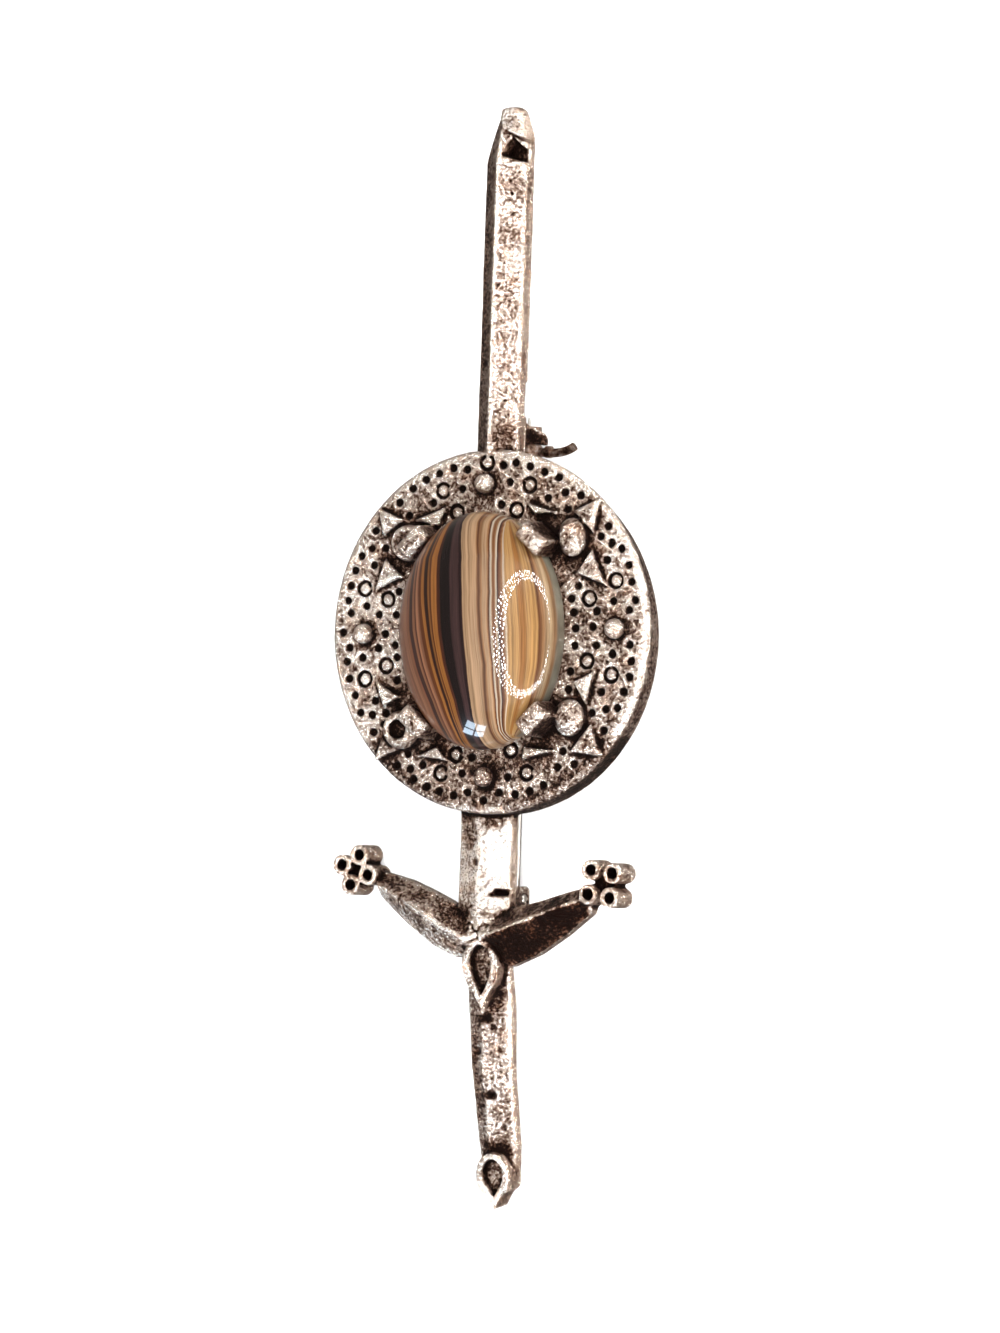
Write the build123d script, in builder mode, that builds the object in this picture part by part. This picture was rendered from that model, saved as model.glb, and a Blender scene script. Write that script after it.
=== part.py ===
import os

from build123d import *

os.makedirs("parts", exist_ok=True)

# The brooch is drawn flat: X across, Y towards the blade's tip, Z out of the face, back plane at Z = 0.
# Every piece is then laid down as it rests: on the guard's left end, the hinge and the catch.
lean = 20.95
pitch = -0.33

# shield: its wall leans in towards the back, more so at the top
shield_radius = 15.3
shield_height = 2.86
face_thickness = 1.35
wall_thickness = 1.4
edge_bevel = 0.35
wall_draft = 0.5
wall_skew = 0.6

# stone: a standard 20 x 15 mm cabochon
stone_length = 20.0
stone_width = 15.0
stone_girdle = 1.0
stone_dome = 5.0
stone_gap = 0.05

# claws round the stone, each with a boss beside it
claw_length = 2.8
claw_width = 1.7
claw_height = 3.3
claw_turn = -42.0
claw_bevel = 0.4
claw_root = 0.2
boss_height = 1.3
bead_radius = 0.85
bead_height = 0.35
relief = 0.5
pit_radius = 0.39
pit_depth = 0.32
dot_radius = 0.75
dot_middle = 0.42
dot_depth = 0.3

# sword: its axis is turned clockwise against the shield
sword_turn = -2.2
sword_offset = -0.51
overlap = 0.6
blade_half_width = 1.95
blade_wall = 1.5
blade_ridge = 3.15
blade_tip = 44.1
tip_length = 4.6
neck_half_width = 2.45
neck_wall = 1.3
neck_ridge = 2.0
nick_depth = 0.25
guard_y = -25.7
guard_half_length = 10.3
guard_ridge = 3.2
guard_wall = 1.1
grip_length = 20.05
grip_half_width = 2.1
grip_wall = 1.15
grip_rise = 0.6
grip_drop = 4.1
drop_width = 3.45
drop_length = 5.9
drop_rim = 1.8
drop_slope = 7.4
drop_hollow = 0.85
drop_wall = 0.68
pommel_width = 3.1
pommel_length = 4.95
pommel_height = 2.5
pommel_slope = 9.8

# tubes at the guard's ends
tube_outer = 0.87
tube_bore = 0.48
tube_gap = 1.0
tube_pitch = 2.0
tube_length = 2.7
tube_mouth = 2.3
tube_hollow = 1.3

# pin, hinge and catch on the back, beside the sword's axis
pin_depth = 4.3
pin_offset = -0.3
stem_radius = 0.5
stem_taper = 3.1
stem_point = 0.15
stem_short = 0.2
hinge_step = 3.4
eye_radius = 0.95
eye_width = 0.9
lug_margin = 0.1
lug_width = 0.5
lug_foot = 1.15
lug_cut = 0.25
lug_step = 0.6
foot_depth = 0.3
lug_gap = 0.06
rivet_radius = 0.38
rivet_head = 0.15
rivet_chamfer = 0.1
rivet_clearance = 0.03
eye_clearance = 0.05
catch_step = 0.8
catch_length = 2.5
hook_wall = 0.49
hook_top = 0.85
hook_end = 0.12
hook_shoulder = 0.35
ring_wall = 0.42
ring_clearance = 0.06
stem_clearance = 0.18
slot_clearance = 0.08
collar_length = 1.1
collar_rise = 0.1
lever_length = 4.2
lever_radius = 0.38

# bar sections, in shares: back from the tip, half width, wall top, ridge height, ridge x, middle
blade_sections = [
    (1.0, 1.0, 1.0, 1.0, 0.0, 0.0),
    (0.52, 0.83, 1.0, 0.86, 0.0, 0.16),
    (0.26, 0.62, 0.93, 0.7, 0.05, 0.14),
    (0.0, 0.28, 0.73, 0.51, -0.03, -0.03),
]
# grip sections, in shares: along the grip, half width, drop of its back, wall, rise of the ridge, ridge x
grip_sections = [
    (-0.036, 1.0, 0.0, 0.78, 1.17, -0.05),
    (0.118, 1.0, 0.146, 0.7, 1.33, -0.14),
    (0.272, 0.98, 0.354, 0.96, 1.0, -0.19),
    (0.544, 0.91, 0.512, 1.0, 1.0, -0.19),
    (0.692, 0.89, 0.671, 0.96, 1.0, -0.19),
    (0.867, 0.86, 0.878, 1.0, 0.92, -0.19),
    (1.0, 0.71, 1.0, 1.04, 0.67, -0.14),
]
# guard sections from left to right, in shares of its half length: across, lower edge, upper edge, ridge;
# then shares of ridge height and wall
guard_sections = [
    (-0.98, 0.301, 0.515, 0.398, 0.62, 0.91),
    (-0.718, 0.087, 0.456, 0.31, 0.84, 1.0),
    (-0.466, -0.078, 0.359, 0.18, 0.94, 1.0),
    (-0.252, -0.165, 0.262, 0.066, 0.9, 1.0),
    (-0.1, -0.12, 0.2, -0.012, 0.82, 1.0),
    (0.0, -0.08, 0.175, 0.02, 0.66, 0.95),
    (0.12, -0.14, 0.2, 0.036, 0.82, 1.0),
    (0.262, -0.225, 0.252, 0.086, 0.88, 1.0),
    (0.515, -0.117, 0.32, 0.178, 0.94, 1.0),
    (0.767, 0.049, 0.398, 0.278, 0.84, 1.0),
    (1.01, 0.243, 0.466, 0.359, 0.62, 0.91),
]
# tube clusters: which end of the guard, how far out from it and along in shares of the tubes' pitch, turn in
# degrees, spacing in shares
clusters = [(0, -1.03, 0.577, 28.0, 0.94), (-1, 0.623, 0.631, -6.0, 1.03)]
# nick across the neck's right slope: shares of its half width, then of the step from the guard to the hinge
neck_nick = [(0.42, 1.06), (1.1, 1.06), (1.1, 1.2), (0.46, 1.22)]
# notch behind the tip and the lip over it: across in shares of the half width, back from the tip
notch = [(0.45, 0.52), (0.22, 0.7), (0.07, 0.89), (0.44, 0.957), (1.05, 1.02), (1.35, 0.9), (0.75, 0.68)]
lip = [
    (-0.14, 0.36), (0.25, 0.47), (1.0, 0.62), (1.2, 0.55), (1.2, 0.38), (1.08, 0.22),
    (0.93, 0.06), (0.62, -0.02), (0.2, -0.03), (-0.14, 0.02), (-0.2, 0.2),
]
# claws, in shares of the stone's half sizes
claw_share = (0.76, 0.75)
# bosses beside the claws, in shares of the shield's radius: across, along, half width, half length;
# then the top's share of the foot, and the dish's share of the half width
bosses = [
    (0.544, 0.497, 0.082, 0.106, 0.55, 0.0),
    (-0.486, 0.497, 0.1, 0.1, 0.84, 0.0),
    (-0.533, -0.53, 0.106, 0.106, 0.84, 0.5),
    (0.525, -0.484, 0.09, 0.1, 0.55, 0.0),
]
# shield ornament, in shares of the shield's radius
triangles = [
    ((-0.658, 0.539), (-0.528, 0.627), (-0.695, 0.704)),
    ((-0.251, 0.693), (-0.462, 0.622), (-0.299, 0.581)),
    ((-0.646, 0.42), (-0.717, 0.236), (-0.535, 0.313)),
    ((0.719, 0.712), (0.542, 0.642), (0.672, 0.515)),
    ((0.303, 0.63), (0.454, 0.632), (0.242, 0.704)),
    ((0.561, 0.301), (0.751, 0.228), (0.66, 0.43)),
    ((0.68, -0.23), (0.542, -0.289), (0.621, -0.418)),
    ((0.514, -0.672), (0.723, -0.699), (0.649, -0.518)),
    ((0.22, -0.709), (0.428, -0.662), (0.23, -0.634)),
    ((-0.658, -0.405), (-0.551, -0.35), (-0.714, -0.252)),
    ((-0.67, -0.574), (-0.721, -0.703), (-0.547, -0.637)),
    ((-0.449, -0.678), (-0.247, -0.706), (-0.316, -0.624)),
]
beads = [(-0.011, 0.809), (0.801, -0.006), (-0.017, -0.797), (-0.785, 0.005)]
ringed_dots = [
    (-0.289, 0.781), (-0.201, 0.658), (-0.008, 0.925), (-0.79, 0.254), (-0.643, 0.191), (-0.654, -0.173),
    (-0.791, -0.245), (-0.304, -0.773), (-0.209, -0.671), (0.258, 0.793), (0.176, 0.658), (0.797, 0.256),
    (0.631, 0.163), (0.616, -0.177), (0.766, -0.255), (0.138, -0.653), (0.239, -0.779),
]
# punched pits as they are scattered over the face
pits = [
    (-0.658, 0.001), (-0.929, 0.015), (-0.879, 0.122), (-0.699, 0.109), (-0.588, 0.105), (-0.779, 0.157),
    (-0.896, 0.191), (-0.879, 0.273), (-0.572, 0.232), (-0.85, 0.357), (-0.73, 0.383), (-0.809, 0.436),
    (-0.744, 0.477), (-0.655, 0.475), (-0.718, 0.573), (-0.566, 0.725), (-0.505, 0.65), (-0.481, 0.799),
    (-0.351, 0.715), (-0.395, 0.844), (-0.313, 0.875), (-0.221, 0.902), (-0.166, 0.787), (-0.134, 0.891),
    (0.094, 0.907), (0.081, 0.692), (0.136, 0.813), (0.173, 0.918), (0.262, 0.894), (0.352, 0.861),
    (0.375, 0.718), (0.444, 0.828), (0.483, 0.744), (0.498, 0.653), (0.58, 0.725), (0.75, 0.551),
    (0.706, 0.499), (0.773, 0.462), (0.833, 0.428), (0.744, 0.368), (0.564, 0.234), (0.877, 0.338),
    (0.521, 0.165), (0.896, 0.245), (0.782, 0.144), (0.535, 0.089), (0.918, 0.145), (0.679, 0.092),
    (0.88, 0.095), (0.653, 0.008), (0.546, 0.002), (0.883, -0.095), (0.675, -0.095), (0.541, -0.092),
    (0.776, -0.144), (0.892, -0.185), (0.88, -0.27), (0.845, -0.349), (0.513, -0.231), (0.706, -0.347),
    (0.805, -0.437), (0.734, -0.442), (0.501, -0.33), (0.647, -0.459), (0.722, -0.556), (0.536, -0.736),
    (0.466, -0.664), (0.432, -0.751), (0.343, -0.847), (0.258, -0.88), (0.166, -0.896), (0.119, -0.801),
    (0.065, -0.884), (-0.032, -0.927), (-0.133, -0.88), (-0.106, -0.691), (-0.169, -0.776),
    (-0.222, -0.895), (-0.313, -0.872), (-0.392, -0.845), (-0.418, -0.726), (-0.478, -0.802),
    (-0.497, -0.745), (-0.513, -0.664), (-0.582, -0.726), (-0.664, -0.497), (-0.734, -0.541),
    (-0.654, -0.437), (-0.742, -0.444), (-0.817, -0.431), (-0.722, -0.368), (-0.584, -0.256),
    (-0.853, -0.334), (-0.888, -0.241), (-0.584, -0.13), (-0.905, -0.147), (-0.805, -0.127),
    (-0.702, -0.077), (-0.596, -0.064), (-0.888, -0.07),
]

hinge_y = guard_y + hinge_step
catch_start = shield_radius + catch_step
ring_inner = stem_radius + stem_clearance
ring_outer = ring_inner + ring_wall
hook_inner = ring_outer + ring_clearance
hook_outer = hook_inner + hook_wall
slot_width = 2 * (stem_radius + slot_clearance)
lug_radius = eye_radius + lug_margin
grip_end = guard_y - grip_length
stone_base = shield_height + stone_gap
corners = [(1, 1), (-1, 1), (-1, -1), (1, -1)]
claw_x = claw_share[0] * stone_width / 2
claw_y = claw_share[1] * stone_length / 2

face = Plane.XY.offset(shield_height)
pin_line = Plane(origin=(pin_offset, 0, -pin_depth), x_dir=(1, 0, 0), z_dir=(0, 1, 0))
hinge_line = Plane(origin=(pin_offset, hinge_y, -pin_depth), x_dir=(0, 1, 0), z_dir=(1, 0, 0))
drop_top = Plane(origin=(0.1, guard_y - 0.42 * drop_length, drop_rim), x_dir=(1, 0, 0), z_dir=(0, 0, 1))
drop_top = drop_top.rotated((drop_slope, 0, 0))
pommel_top = Plane(origin=(0, grip_end, -grip_drop + pommel_height), x_dir=(1, 0, 0), z_dir=(0, 0, 1))
pommel_top = pommel_top.rotated((pommel_slope, 0, 0))


def across(y):
    """A plane square to the sword's axis; its local Y is up."""
    return Plane(origin=(0, y, 0), x_dir=(1, 0, 0), z_dir=(0, -1, 0))


def at_x(x):
    """A plane square to the guard; its local X runs along the sword."""
    return Plane(origin=(x, 0, 0), x_dir=(0, 1, 0), z_dir=(1, 0, 0))


def roof(left, right, back, left_wall, ridge_x, ridge):
    """Five-sided bar section: flat back, two low walls and a ridge."""
    return [(left, back), (right, back), (right, left_wall), (ridge_x, ridge), (left, left_wall)]


def drop(width, length, belly=0.37):
    """A pointed drop: round top, curved sides, point down; the belly is its half width near the point."""
    right = [
        (0, 0.40 * length),
        (0.34 * width, 0.30 * length),
        (0.5 * width, 0.06 * length),
        (belly * width, -0.25 * length),
        (0, -0.60 * length),
    ]
    with BuildSketch() as outline:
        with BuildLine():
            Spline(*right, tangents=((1, 0), (-0.5, -1)))
            Spline(*[(-x, y) for x, y in right], tangents=((-1, 0), (0.5, -1)))
        make_face()
    return outline.sketch


foot = roof(-blade_half_width, blade_half_width, 0, blade_wall, 0, blade_ridge)
blade = [(shield_radius - overlap, foot)]
for back, half, wall, ridge, ridge_x, middle in blade_sections:
    left = (middle - half) * blade_half_width
    right = (middle + half) * blade_half_width
    outline = roof(left, right, 0, wall * blade_wall, ridge_x * blade_half_width, ridge * blade_ridge)
    blade.append((blade_tip - back * tip_length, outline))
grip = []
for along, half, fall, wall, rise, ridge_x in grip_sections:
    back = -fall * grip_drop
    top = back + wall * grip_wall
    wide = half * grip_half_width
    outline = roof(-wide, wide, back, top, ridge_x * grip_half_width, top + rise * grip_rise)
    grip.append((guard_y - along * grip_length, outline))

with BuildPart() as sword:
    # blade and grip, section by section
    for bar in (blade, grip):
        for pair in zip(bar[:-1], bar[1:]):
            for y, outline in pair:
                with BuildSketch(across(y)):
                    with BuildLine():
                        Polyline(*outline, close=True)
                    make_face()
            loft(ruled=True)
    # neck between the shield and the guard
    with BuildSketch(across(overlap - shield_radius)):
        with BuildLine():
            Polyline(*roof(-neck_half_width, neck_half_width, 0, neck_wall, -0.2, neck_ridge), close=True)
        make_face()
    extrude(amount=overlap - shield_radius - guard_y)
    with BuildSketch(Plane.XY.offset(neck_wall - nick_depth)):
        with BuildLine():
            Polyline(*[(x * neck_half_width, guard_y + y * hinge_step) for x, y in neck_nick], close=True)
        make_face()
    extrude(amount=neck_ridge, mode=Mode.SUBTRACT)
    # rib that carries the sword behind the shield
    with BuildSketch(Plane.XY):
        Rectangle(2 * blade_half_width, 2 * (shield_radius - overlap))
    extrude(amount=shield_height - face_thickness / 2)
    # guard
    for pair in zip(guard_sections[:-1], guard_sections[1:]):
        for x, low, high, ridge_y, ridge, wall in pair:
            low_y = guard_y + low * guard_half_length
            high_y = guard_y + high * guard_half_length
            top_y = guard_y + ridge_y * guard_half_length
            outline = roof(low_y, high_y, 0, wall * guard_wall, top_y, ridge * guard_ridge)
            with BuildSketch(at_x(x * guard_half_length)):
                with BuildLine():
                    Polyline(*outline, close=True)
                make_face()
        loft(ruled=True)
    # four short tubes on each end of the guard
    for end, out, along, turn, spacing in clusters:
        end_x, end_low, end_high = guard_sections[end][:3]
        x = end_x * guard_half_length + out * tube_pitch
        y = guard_y + (end_low + end_high) / 2 * guard_half_length + along * tube_pitch
        pitch_here = spacing * tube_pitch
        middle = Location((x, y, 0), (0, 0, turn))
        with BuildSketch(Plane.XY.offset(tube_mouth - tube_length)):
            with Locations(middle):
                with GridLocations(pitch_here, pitch_here, 2, 2):
                    Circle(tube_outer)
        extrude(amount=tube_length)
        with BuildSketch(Plane.XY.offset(tube_mouth - tube_length)):
            with Locations(middle):
                Rectangle(pitch_here, pitch_here)
        extrude(amount=tube_length - tube_gap)
        with BuildSketch(Plane.XY.offset(tube_mouth)):
            with Locations(middle):
                with GridLocations(pitch_here, pitch_here, 2, 2):
                    Circle(tube_bore)
        extrude(amount=-tube_hollow, mode=Mode.SUBTRACT)
    # raised drop below the guard, sloping down the grip, and its hollow
    with BuildSketch(drop_top):
        add(drop(drop_width, drop_length))
    extrude(amount=-1.05 * drop_rim)
    with BuildSketch(drop_top):
        with Locations((0, 0.03 * drop_length)):
            add(drop(drop_width - 2 * drop_wall, drop_length - 2.2 * drop_wall))
    extrude(amount=-drop_hollow, mode=Mode.SUBTRACT)
    # pommel drop, sloping with the grip's end
    with BuildSketch(pommel_top):
        add(drop(pommel_width, pommel_length, 0.44))
    extrude(amount=-pommel_height)
    with BuildSketch(pommel_top):
        with Locations((0, 0.02 * pommel_length)):
            add(drop(pommel_width - 1.6 * drop_wall, pommel_length - 2.4 * drop_wall))
    extrude(amount=-0.8 * drop_hollow, mode=Mode.SUBTRACT)
    # notch behind the tip, and the lip over it
    with BuildSketch(Plane.XY.offset(0.6 * blade_wall)):
        with BuildLine():
            Polyline(*[(x * blade_half_width, blade_tip - y * tip_length) for x, y in notch], close=True)
        make_face()
    extrude(amount=blade_ridge, mode=Mode.SUBTRACT)
    with BuildSketch(Plane.XY.offset(0.8 * blade_wall)):
        with BuildLine():
            Polyline(*[(x * blade_half_width, blade_tip - y * tip_length) for x, y in lip], close=True)
        make_face()
    extrude(amount=0.42 * blade_ridge, taper=8)
    # hinge lugs on the back, bored for the rivet
    for side in (-1, 1):
        with BuildSketch(hinge_line.offset(side * (eye_width / 2 + lug_gap))):
            with BuildLine():
                Polyline(
                    (-lug_radius, lug_cut - lug_radius), (lug_cut - lug_radius, -lug_radius),
                    (lug_radius - lug_cut, -lug_radius), (lug_radius, lug_cut - lug_radius),
                    (lug_radius, lug_step * pin_depth), (lug_foot * lug_radius, pin_depth + foot_depth),
                    (-lug_foot * lug_radius, pin_depth + foot_depth), (-lug_radius, lug_step * pin_depth),
                    close=True,
                )
            make_face()
        extrude(amount=side * lug_width)
    with BuildSketch(hinge_line):
        Circle(rivet_radius + rivet_clearance)
    extrude(amount=3 * eye_width, both=True, mode=Mode.SUBTRACT)
    # fixed hook of the catch, open away from the back, its front edge cut on a slant
    with BuildSketch(pin_line.offset(catch_start)):
        Circle(hook_outer)
        with Locations((0, -pin_depth / 2)):
            Rectangle(hook_outer + hook_wall / 2, pin_depth + foot_depth)
        Circle(hook_inner, mode=Mode.SUBTRACT)
        with Locations((0, hook_outer)):
            Rectangle(slot_width, 2 * hook_outer, mode=Mode.SUBTRACT)
    extrude(amount=catch_length)
    with BuildSketch(at_x(0)):
        with BuildLine():
            Polyline(
                (catch_start + hook_top * catch_length, -hook_shoulder * pin_depth),
                (catch_start + hook_top * catch_length, foot_depth),
                (catch_start + 2 * catch_length, foot_depth),
                (catch_start + 2 * catch_length, -pin_depth - 2 * hook_outer),
                (catch_start + hook_end * catch_length, -pin_depth - 2 * hook_outer),
                (catch_start + hook_end * catch_length, -pin_depth - hook_outer), close=True,
            )
        make_face()
    extrude(amount=3 * hook_outer, both=True, mode=Mode.SUBTRACT)

with BuildPart() as dome:
    Sphere(1.0)
    split(bisect_by=Plane.XY)
    scale(by=(stone_width / 2, stone_length / 2, stone_dome))

with BuildPart() as dome_room:
    Sphere(1.0)
    split(bisect_by=Plane.XY)
    scale(by=(stone_width / 2 + stone_gap, stone_length / 2 + stone_gap, stone_dome + stone_gap))

with BuildPart() as flat_stone:
    with BuildSketch(face.offset(stone_gap)):
        Ellipse(stone_width / 2, stone_length / 2)
    extrude(amount=stone_girdle)
    add(dome.part.moved(Location((0, 0, stone_base + stone_girdle))))

with BuildPart() as flat_body:
    # shield, dished behind
    with BuildSketch(Plane.XY):
        with Locations((0, -wall_skew)):
            Circle(shield_radius - wall_draft)
    with BuildSketch(face.offset(-edge_bevel)):
        Circle(shield_radius)
    loft(ruled=True)
    with BuildSketch(face.offset(-edge_bevel)):
        Circle(shield_radius)
    with BuildSketch(face):
        Circle(shield_radius - edge_bevel)
    loft(ruled=True)
    with BuildSketch(Plane.XY):
        with Locations((0, -wall_skew / 2)):
            Circle(shield_radius - wall_draft - wall_thickness)
    extrude(amount=shield_height - face_thickness, mode=Mode.SUBTRACT)
    sword_place = Location((sword_offset, 0, 0), (0, 0, sword_turn))
    add(sword.part.moved(sword_place))
    # claws with bevelled tops
    for x_side, y_side in corners:
        place = Location((x_side * claw_x, y_side * claw_y, 0), (0, 0, claw_turn * x_side * y_side))
        with BuildSketch(face.offset(-claw_root)):
            with Locations(place):
                Rectangle(claw_length, claw_width)
        extrude(amount=claw_root + claw_height - claw_bevel)
        with BuildSketch(face.offset(claw_height - claw_bevel)):
            with Locations(place):
                Rectangle(claw_length, claw_width)
        extrude(amount=claw_bevel, taper=35)
    # a boss beside each claw
    for x, y, half_width, half_length, top, dish in bosses:
        place = Location((x * shield_radius, y * shield_radius, 0))
        wide = half_width * shield_radius
        deep = half_length * shield_radius
        with BuildSketch(face.offset(-claw_root)):
            with Locations(place):
                Ellipse(wide, deep)
        extrude(amount=claw_root + 0.5 * boss_height)
        with BuildSketch(face.offset(0.5 * boss_height)):
            with Locations(place):
                Ellipse(wide, deep)
        with BuildSketch(face.offset(boss_height)):
            with Locations(place):
                Ellipse(top * wide, top * deep)
        loft(ruled=True)
        if dish:
            with BuildSketch(face.offset(boss_height)):
                with Locations(place):
                    Circle(dish * wide)
            extrude(amount=-0.4 * boss_height, mode=Mode.SUBTRACT)
    # raised triangles
    with BuildSketch(face):
        for points in triangles:
            with BuildLine():
                Polyline(*[(x * shield_radius, y * shield_radius) for x, y in points], close=True)
            make_face()
    extrude(amount=relief, taper=12)
    # beads
    bead_z = shield_height + bead_height
    with Locations(*[(x * shield_radius, y * shield_radius, bead_z) for x, y in beads]):
        Sphere(bead_radius)
    # room for the stone
    add(dome_room.part.moved(Location((0, 0, stone_base + stone_girdle))), mode=Mode.SUBTRACT)
    with BuildSketch(face):
        Ellipse(stone_width / 2 + 2 * stone_gap, stone_length / 2 + 2 * stone_gap)
    extrude(amount=stone_gap + stone_girdle + 0.4 * stone_gap, mode=Mode.SUBTRACT)
    # punched pits and ringed dots
    with BuildSketch(face):
        with Locations(*[(x * shield_radius, y * shield_radius) for x, y in pits]):
            Circle(pit_radius)
    extrude(amount=-pit_depth, taper=15, mode=Mode.SUBTRACT)
    with BuildSketch(face):
        with Locations(*[(x * shield_radius, y * shield_radius) for x, y in ringed_dots]):
            Circle(dot_radius)
            Circle(dot_middle, mode=Mode.SUBTRACT)
    extrude(amount=-dot_depth, mode=Mode.SUBTRACT)

with BuildPart() as flat_stem:
    with BuildSketch(hinge_line.offset(-eye_width / 2)):
        Circle(eye_radius)
    extrude(amount=eye_width)
    stem_end = catch_start + catch_length - stem_taper - stem_short
    with BuildSketch(pin_line.offset(hinge_y + rivet_radius)):
        Circle(stem_radius)
    extrude(amount=stem_end - hinge_y - rivet_radius)
    with BuildSketch(pin_line.offset(stem_end)):
        Circle(stem_radius)
    with BuildSketch(pin_line.offset(stem_end + stem_taper)):
        Circle(stem_point * stem_radius)
    loft(ruled=True)
    with BuildSketch(hinge_line):
        Circle(rivet_radius + eye_clearance)
    extrude(amount=3 * eye_width, both=True, mode=Mode.SUBTRACT)

with BuildPart() as flat_rivet:
    with BuildSketch(hinge_line):
        Circle(rivet_radius)
    extrude(amount=eye_width / 2 + lug_gap + lug_width + rivet_head, both=True)
    chamfer(flat_rivet.edges().filter_by(GeomType.CIRCLE), rivet_chamfer)

with BuildPart() as flat_lock:
    collar_start = catch_start - collar_length - collar_rise
    with BuildSketch(pin_line.offset(collar_start)):
        Circle(ring_outer + collar_rise)
    extrude(amount=collar_length)
    with BuildSketch(pin_line.offset(collar_start)):
        Circle(ring_outer)
    extrude(amount=collar_length + 0.65 * catch_length)
    # thumb lever, bent a little towards the tip
    lever_y = collar_start + 0.55 * collar_length
    with BuildLine():
        lever = Spline(
            (pin_offset + ring_inner + 0.5 * ring_wall, lever_y, -pin_depth),
            (0.48 * lever_length, lever_y - 0.2 * lever_radius, -pin_depth),
            (0.74 * lever_length, lever_y + 0.1 * lever_radius, -pin_depth),
            (lever_length, lever_y + 1.3 * lever_radius, -pin_depth),
        )
    with BuildSketch(Plane(origin=lever @ 0, z_dir=lever % 0)):
        Circle(lever_radius)
    sweep(path=lever)
    with BuildSketch(Plane(origin=(0.35 * lever_length, lever_y, -pin_depth), z_dir=(1, 0, 0))):
        Circle(1.35 * lever_radius)
    extrude(amount=0.5)
    with BuildSketch(pin_line.offset(collar_start - collar_rise)):
        Circle(ring_inner)
        with Locations((0, hook_outer)):
            Rectangle(slot_width, 2 * hook_outer)
    extrude(amount=2 * catch_length, mode=Mode.SUBTRACT)

# lay the pieces down: turn them, then set the lowest point on the floor and the middle over the origin
turned = Location((0, 0, 0), (0, -lean, 0)) * Location((0, 0, 0), (pitch, 0, 0))
box = flat_body.part.moved(turned).bounding_box()
lying = Location((-box.center().X, -box.center().Y, -box.min.Z)) * turned
back_lying = lying * sword_place

with BuildPart() as cast_body:
    add(flat_body.part.moved(lying))
cast_body.part.label = "cast_body"
export_step(cast_body.part, "parts/cast_body.step")

with BuildPart() as cabochon:
    add(flat_stone.part.moved(lying))
cabochon.part.label = "cabochon"
export_step(cabochon.part, "parts/cabochon.step")

with BuildPart() as pin_stem:
    add(flat_stem.part.moved(back_lying))
pin_stem.part.label = "pin_stem"
export_step(pin_stem.part, "parts/pin_stem.step")

with BuildPart() as hinge_rivet:
    add(flat_rivet.part.moved(back_lying))
hinge_rivet.part.label = "hinge_rivet"
export_step(hinge_rivet.part, "parts/hinge_rivet.step")

with BuildPart() as catch_lock:
    add(flat_lock.part.moved(back_lying))
catch_lock.part.label = "catch_lock"
export_step(catch_lock.part, "parts/catch_lock.step")
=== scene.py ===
import math

import bmesh
import bpy
import numpy as np
from mathutils import Matrix, Vector


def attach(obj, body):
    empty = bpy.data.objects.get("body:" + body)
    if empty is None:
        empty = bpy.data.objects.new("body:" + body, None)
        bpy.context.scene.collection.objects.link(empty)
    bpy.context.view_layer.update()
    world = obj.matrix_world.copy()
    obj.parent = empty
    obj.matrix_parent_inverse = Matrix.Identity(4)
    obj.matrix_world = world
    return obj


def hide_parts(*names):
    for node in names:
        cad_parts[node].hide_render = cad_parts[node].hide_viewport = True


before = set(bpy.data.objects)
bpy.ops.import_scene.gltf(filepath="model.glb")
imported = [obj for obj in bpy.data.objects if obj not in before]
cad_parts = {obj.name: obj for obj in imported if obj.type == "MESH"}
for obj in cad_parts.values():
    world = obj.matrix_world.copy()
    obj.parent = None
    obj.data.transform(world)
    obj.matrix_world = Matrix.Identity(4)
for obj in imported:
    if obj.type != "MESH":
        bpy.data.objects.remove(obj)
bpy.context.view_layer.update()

# The casting: sword, shield, claws, bosses, beads, hinge lugs and hook in one piece of white metal. It is
# poured, tumbled and dipped in a dark antiquing bath. Then the high places are polished bright again, while
# the hollows, the punched pits and the underside keep the dark.
MM = 0.001
# how the flat brooch lies: pitched, leaned on its left side and lifted, in millimetres and radians
lean = math.radians(20.95)
pitch = math.radians(-0.33)
lift = (0.7873, 2.2278, 5.8398)
lying = Matrix.Translation(lift) @ Matrix.Rotation(-lean, 4, "Y") @ Matrix.Rotation(pitch, 4, "X")
# the sword lies a little left of the shield's middle and turned
sword_aside = -0.51
sword_turn = math.radians(-2.2)
sword_axis = Matrix.Translation((sword_aside, 0, 0)) @ Matrix.Rotation(sword_turn, 4, "Z")

bright_metal = (0.98, 0.925, 0.84)
worn_metal = (0.47, 0.36, 0.29)
bath_brown = (0.108, 0.060, 0.042)
bath_black = (0.008, 0.004, 0.003)
copper_blush = (0.80, 0.56, 0.42)
# how much of the bath stays everywhere, from 0 to 1, before hollows, clouds and stains add to it
bath_everywhere = 0.265


def add_nodes(tree, rows):
    """Adds nodes from rows of name, type and settings, and gives them back by name."""
    made = {}
    for name, kind, settings in rows:
        node = tree.nodes.new(kind)
        for key, value in settings.items():
            if isinstance(key, int) or key in node.inputs:
                node.inputs[key].default_value = value
            else:
                setattr(node, key, value)
        node.name = name
        made[name] = node
    return made


def wire(tree, nodes, rows):
    """Links from rows of node, output, node, input."""
    for source, output, target, socket in rows:
        tree.links.new(nodes[source].outputs[output], nodes[target].inputs[socket])


def add_up(tree, sockets):
    """Math nodes that add the sockets up one after another, and the last one's output."""
    total = sockets[0]
    for socket in sockets[1:]:
        node = tree.nodes.new("ShaderNodeMath")
        node.operation = "ADD"
        tree.links.new(total, node.inputs[0])
        tree.links.new(socket, node.inputs[1])
        total = node.outputs[0]
    return total


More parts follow.
